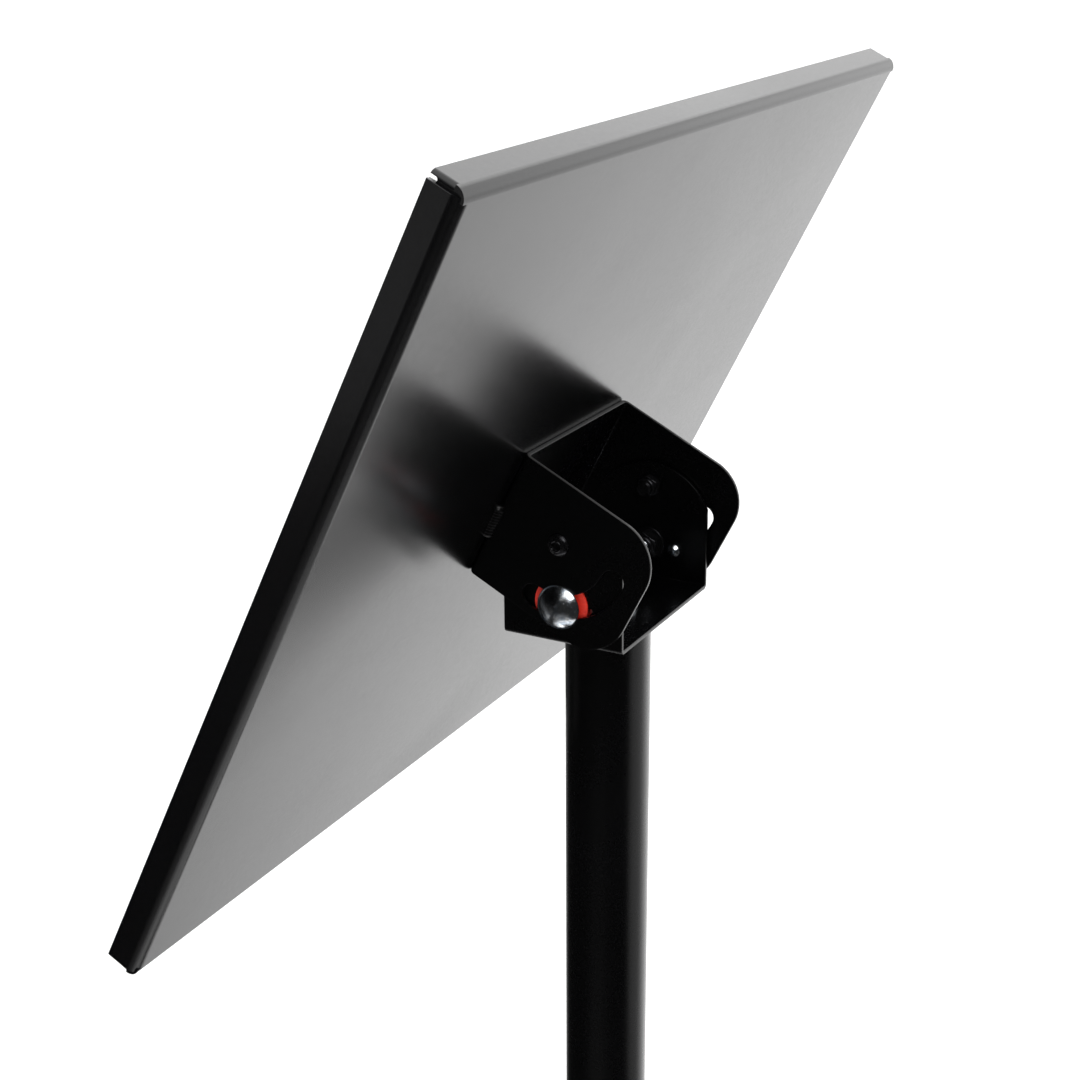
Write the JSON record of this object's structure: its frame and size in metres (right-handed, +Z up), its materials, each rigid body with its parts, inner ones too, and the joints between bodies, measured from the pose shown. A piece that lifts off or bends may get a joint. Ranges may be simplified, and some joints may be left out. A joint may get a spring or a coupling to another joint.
{
  "type": "music stand",
  "caption": "Music stand with a folded steel desk on a slotted friction tilt head, a telescopic round post with a hand-knob lock and a round steel base.",
  "frame": {"origin": "on the floor under the post's axis, midway across the base", "axes": "+Z up the post, -Y towards the reader, +X to the reader's right, who looks along +Y"},
  "size_m": [0.427, 0.4, 1.2883],
  "materials": {
    "desk_paint": "satin black powder coat",
    "bracket_paint": "semi-gloss black powder coat",
    "tube_paint": "semi-gloss black powder coat",
    "collar_paint": "satin black powder coat",
    "base_paint": "textured black powder coat",
    "black_screw": "black oxide",
    "zinc": "bright zinc plate",
    "bare_steel": "turned steel",
    "brass": "turned brass",
    "red_fibre": "red vulcanised fibre",
    "nylon": "natural nylon",
    "black_nylon": "moulded black nylon",
    "foot_rubber": "matte black rubber"
  },
  "bodies": {
    "base": {"base_plate": "base_paint", "base_screws": "zinc", "base_flange": "base_paint", "flange_pins": "bare_steel", "foot_pads": "foot_rubber", "lower_tube": "tube_paint", "guide_bush": "black_nylon", "lock_collar": "collar_paint", "collar_screws": "black_screw"},
    "lock_pad": {"clamp_pad": "brass"},
    "lock": {"lock_screw": "zinc", "lock_knob": "black_nylon", "knob_cap": "black_nylon"},
    "glide": {"glide": "nylon"},
    "column": {"upper_tube": "tube_paint", "end_plug": "bare_steel", "glide_screw": "zinc", "head_plug": "bare_steel", "head_bolt": "zinc", "head_washer": "zinc", "post_bracket": "bracket_paint", "pivot_screws": "black_screw", "pivot_spacers": "nylon", "pivot_nuts": "black_screw", "clamp_bolts": "zinc", "friction_washers": "red_fibre", "clamp_washers": "black_screw", "clamp_nuts": "black_screw", "cheek_rivets": "zinc"},
    "desk": {"desk_tray": "desk_paint", "desk_bracket": "bracket_paint", "desk_welds": "bracket_paint"}
  },
  "joints": [
    {"name": "height_slide", "type": "slide", "parent": "base", "child": "glide", "axis": [0, 0, 1], "range_m": [-0.28, 0.14]},
    {"name": "column_swivel", "type": "hinge", "parent": "glide", "child": "column", "pos_m": [0, 0, 0.36], "axis": [0, 0, 1], "continuous": true},
    {"name": "desk_tilt", "type": "hinge", "parent": "column", "child": "desk", "pos_m": [0, 0, 1.1], "axis": [-1, 0, 0], "range_deg": [-26.5, 63.5]},
    {"name": "pad_travel", "type": "slide", "parent": "base", "child": "lock_pad", "axis": [0, 1, 0], "range_m": [0, 0.003]},
    {"name": "lock_turn", "type": "hinge", "parent": "lock_pad", "child": "lock", "pos_m": [0, 0.058, 0.582], "axis": [0, 1, 0], "range_deg": [0, 720]}
  ],
  "couplings": [
    {"joint": "pad_travel", "follows": "lock_turn", "m_per_rad": 0.00023873}
  ]
}
